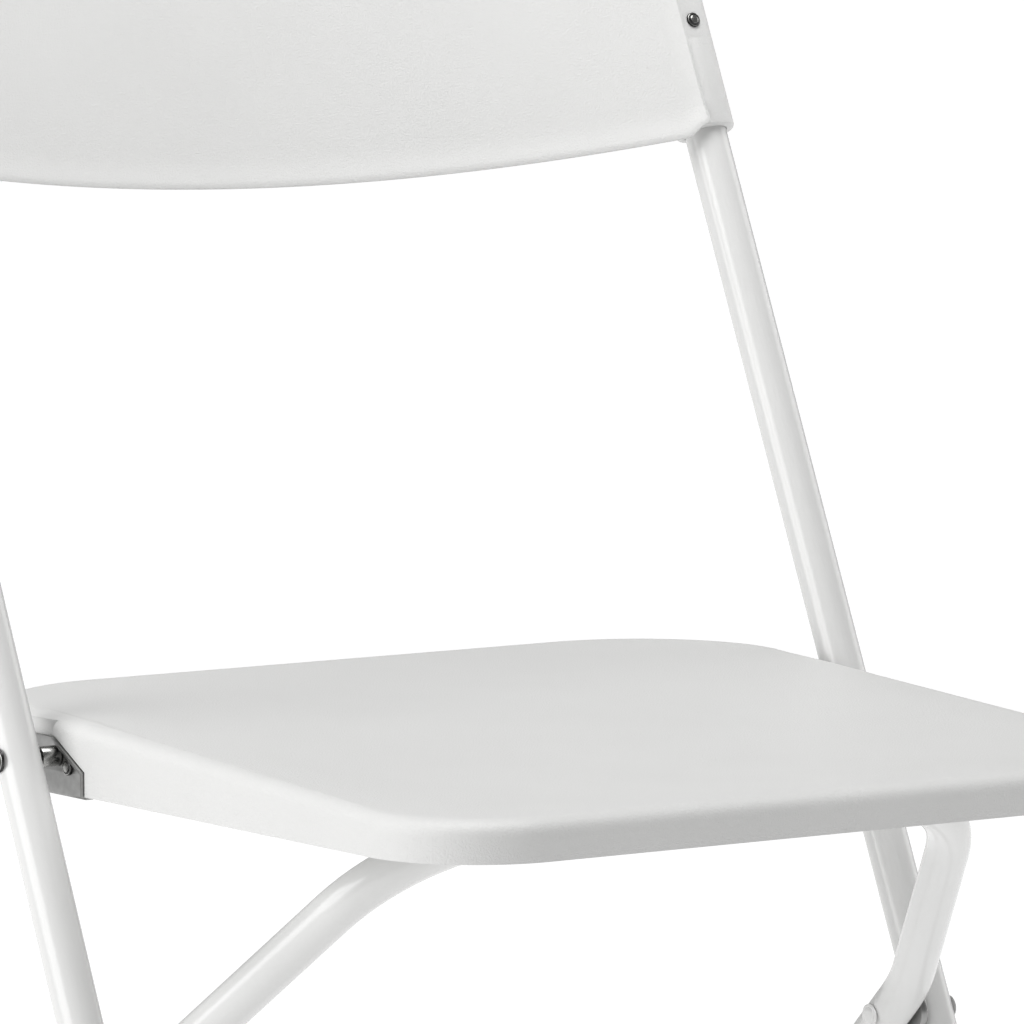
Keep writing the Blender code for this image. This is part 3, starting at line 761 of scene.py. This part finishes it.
def fasteners(side, sign):
    out, radius, gap = across * sign, tubeSpec["radius"], clearance
    head, shank, rise = rivetSpec["head"], rivetSpec["shank"], rivetSpec["rise"]
    overTab = radius + 2 * gap + 2 * braceSpec["tab"]
    for level, along in zip(("lower", "upper"), backSpec["rivets"]):
        spot = legPoint(sign * spread, backSpec["bottom"] + along)
        rivetPiece(f"back_rivet_{level}_{side}", "back_frame", spot, legFront, -backSpec["sleeve"] - gap,
                   backSpec["land"] + gap, rivetSpec["backHead"], shank, rivetSpec["backRise"])
    rivetPiece("front_brace_rivet_" + side, "back_frame", legPoint(sign * spread, braceAlong), legFront,
               -radius - gap, overTab, head, shank, rivetSpec["braceRise"])
    rearSpot = scissorPivot + across * sign * hoopSpec["spread"] + rearUp * rearBraceAlong
    rivetPiece("rear_brace_rivet_" + side, "rear_legs", rearSpot, rearBack, -radius - gap, overTab,
               head, shank, rivetSpec["braceRise"])
    rivetPiece("scissor_rivet_" + side, "back_frame", scissorPivot, out,
               hoopSpec["spread"] - radius - gap, spread + radius + gap, head, shank,
               rivetSpec["scissorRise"], coat)
    rivetPiece("seat_pivot_rivet_" + side, "back_frame", seatPivot, out, seatSpec["cheek"] - gap,
               spread + radius + gap, head, shank, rise)
    for place, (y, z) in zip(("front", "rear"), bracketSpec["rivets"]):
        rivetPiece(f"bracket_rivet_{place}_{side}", "seat", seatPivot + Vector((0, y, z)), out,
                   seatSpec["cheek"] - gap, bracketSpec["outer"] + gap, bracketSpec["head"],
                   bracketSpec["shank"], bracketSpec["headRise"])
    ringPiece("scissor_washer_" + side, "back_frame", scissorPivot, out,
              hoopSpec["spread"] + radius + gap, spread - radius - gap,
              rivetSpec["washer"], rivetSpec["washerEase"], zinc, "nylon")
    ringPiece("seat_spacer_" + side, "back_frame", seatPivot, out, bracketSpec["outer"] + gap,
              spread - radius - gap, rivetSpec["spacer"], rivetSpec["spacerEase"], nickel, "nylon")


for side, sign in sides:
    fasteners(side, sign)
print("fasteners made")


# Braces, feet and saddles

def brace(node, body, centre, upAxis, outAxis, halfLength):
    # a round bar whose ends are pressed flat
    tab, tall, half, press = braceSpec["tab"], braceSpec["tall"], braceSpec["half"], braceSpec["press"]
    stations = [(-halfLength - half * cos(turn), tall * max(0.3, sin(turn)), tab)
                for turn in [radians(a) for a in (8, 25, 42, 60, 76, 90)]]
    stations.append((-halfLength + half, tall, tab))
    for i in range(1, braceSpec["steps"] + 1):
        share, radius = (1 - cos(pi * i / braceSpec["steps"])) / 2, braceSpec["radius"]
        stations.append((-halfLength + half + press * i / braceSpec["steps"],
                         tall + (radius - tall) * share, tab + (radius - tab) * share))
    stations += [(-place, wide, deep) for place, wide, deep in reversed(stations)]
    offset = tubeSpec["radius"] + clearance + tab
    matrix = frameMatrix(centre + outAxis * offset, upAxis, outAxis, upAxis.cross(outAxis))
    piece = lofted(node, stations, matrix, 40)
    for x in (-halfLength, halfLength):
        drill(piece, centre + across * x + outAxis * offset, outAxis, boltHole, 10 * mm)
    return finished(piece, coat, body, "white_steel", node)


footSpec = {"radius": 12.7 * mm, "length": 34 * mm, "sole": 3 * mm, "ease": 1.2 * mm, "grip": 0.7 * mm,
            "grooves": (13 * mm, 9 * mm)}


def foot(node, body, x, upAxis, lean):
    # a moulded cup over the tube's end, cut flat where it stands
    height = footSpec["sole"] + tubeSpec["radius"] * sin(lean)
    end = scissorPivot + upAxis * ((height - scissorPivot.z) / upAxis.z)
    end.x = x
    radius, length, ease, grip = footSpec["radius"], footSpec["length"], footSpec["ease"], footSpec["grip"]
    profile = [(-length, radius), (length - footSpec["grooves"][0], radius)]
    for groove in footSpec["grooves"]:
        start = length - groove
        profile += [(start + 0.1 * mm, radius), (start + 0.7 * mm, radius - grip),
                    (start + 1.5 * mm, radius - grip), (start + 2.1 * mm, radius)]
    profile += [(length - ease, radius), (length - ease * 0.3, radius - ease * 0.3), (length, radius - ease)]
    piece = turned(node, profile, end, upAxis, 64)
    choose(piece, "VERT", lambda co: True)
    bpy.ops.mesh.bisect(plane_co=(0, 0, 0), plane_no=(0, 0, 1), use_fill=True, clear_inner=True)
    bpy.ops.object.mode_set(mode="OBJECT")
    facingOut(piece)
    rounded(piece, 0.5 * mm, 2, 50)
    loose = tubeSpec["radius"] + clearance
    cut(piece, turned("bore", [(-clearance, loose), (length * 2, loose)], end, upAxis, 64))
    return finished(piece, vinyl, body, "foot_plastic", node)


def saddle(side, sign):
    node = "crossbar_saddle_" + side
    low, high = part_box(node)
    piece = box("saddle_" + side, low, high)
    rounded(piece, 1.5 * mm, 3)
    return finished(piece, nylon, "seat", "nylon", node)


brace("front_brace", "back_frame", legPoint(0, braceAlong), legUp, legFront, spread)
brace("rear_brace", "rear_legs", scissorPivot + rearUp * rearBraceAlong, rearUp, rearBack, hoopSpec["spread"])
frontLean = legUp.angle(Vector((0, 0, 1)))
for side, sign in sides:
    foot("front_foot_" + side, "back_frame", sign * spread, legUp, frontLean)
    foot("rear_foot_" + side, "rear_legs", sign * hoopSpec["spread"], rearUp, hoopSpec["lean"])
    saddle(side, sign)
print("braces, feet and saddles made")


# Camera, light and floor

cameraSpec = {"lens": 320.9094, "sensor": 36, "turn": radians(34.5062), "tilt": radians(5.9631),
              "place": Vector((-2.18091, -3.20765, 0.92407))}

# a glowing pale floor keeps the ground white while the chair stays in soft light
studioSpec = {"floor": "7C7C7C", "floorGlow": 0.97, "world": 0.2,
              "lights": (("leftPanel", (-2.6, 0.4, 1.4), (0, 0, 0.5), (2.0, 2.2), 56),
                         ("topPanel", (0, -0.30, 2.1), (0, 0.1, 0.4), (1.4, 1.1), 25.5),
                         ("rightPanel", (2.8, -0.1, 1.1), (0, 0, 0.5), (1.6, 1.8), 15))}


def addCamera():
    turn, tilt = cameraSpec["turn"], cameraSpec["tilt"]
    look = Vector((sin(turn) * cos(tilt), cos(turn) * cos(tilt), -sin(tilt)))
    bpy.ops.object.camera_add(location=cameraSpec["place"])
    camera = bpy.context.active_object
    camera.rotation_mode = "QUATERNION"
    camera.rotation_quaternion = look.to_track_quat("-Z", "Y")
    camera.data.lens = cameraSpec["lens"]
    camera.data.sensor_width = cameraSpec["sensor"]
    camera.data.clip_start = 0.1
    camera.data.clip_end = 100
    bpy.context.scene.camera = camera


def addLight(name, place, target, size, power):
    bpy.ops.object.light_add(type="AREA", location=place)
    light = bpy.context.active_object
    light.name = name
    light.data.shape = "RECTANGLE"
    light.data.size, light.data.size_y = size
    light.data.energy = power
    light.visible_camera = False
    light.rotation_mode = "QUATERNION"
    light.rotation_quaternion = (Vector(target) - Vector(place)).to_track_quat("-Z", "Y")


def addFloor():
    deselect()
    bpy.ops.mesh.primitive_plane_add(size=60)
    floor = justAdded("studioFloor")
    material, tree, shader, place = newMaterial("paleFloor", Metallic=0.0, Roughness=0.9)
    shader.inputs["Base Color"].default_value = linear(studioSpec["floor"])
    shader.inputs["Emission Color"].default_value = linear("FFFFFF")
    shader.inputs["Emission Strength"].default_value = studioSpec["floorGlow"]
    floor.data.materials.append(material)


def addWorld():
    world = bpy.context.scene.world or bpy.data.worlds.new("studio")
    bpy.context.scene.world = world
    world.use_nodes = True
    background = world.node_tree.nodes["Background"]
    background.inputs["Color"].default_value = (1, 1, 1, 1)
    background.inputs["Strength"].default_value = studioSpec["world"]


deselect()
addCamera()
addFloor()
addWorld()
for light in studioSpec["lights"]:
    addLight(*light)
bpy.context.scene.view_settings.view_transform = "Standard"
print("studio set")
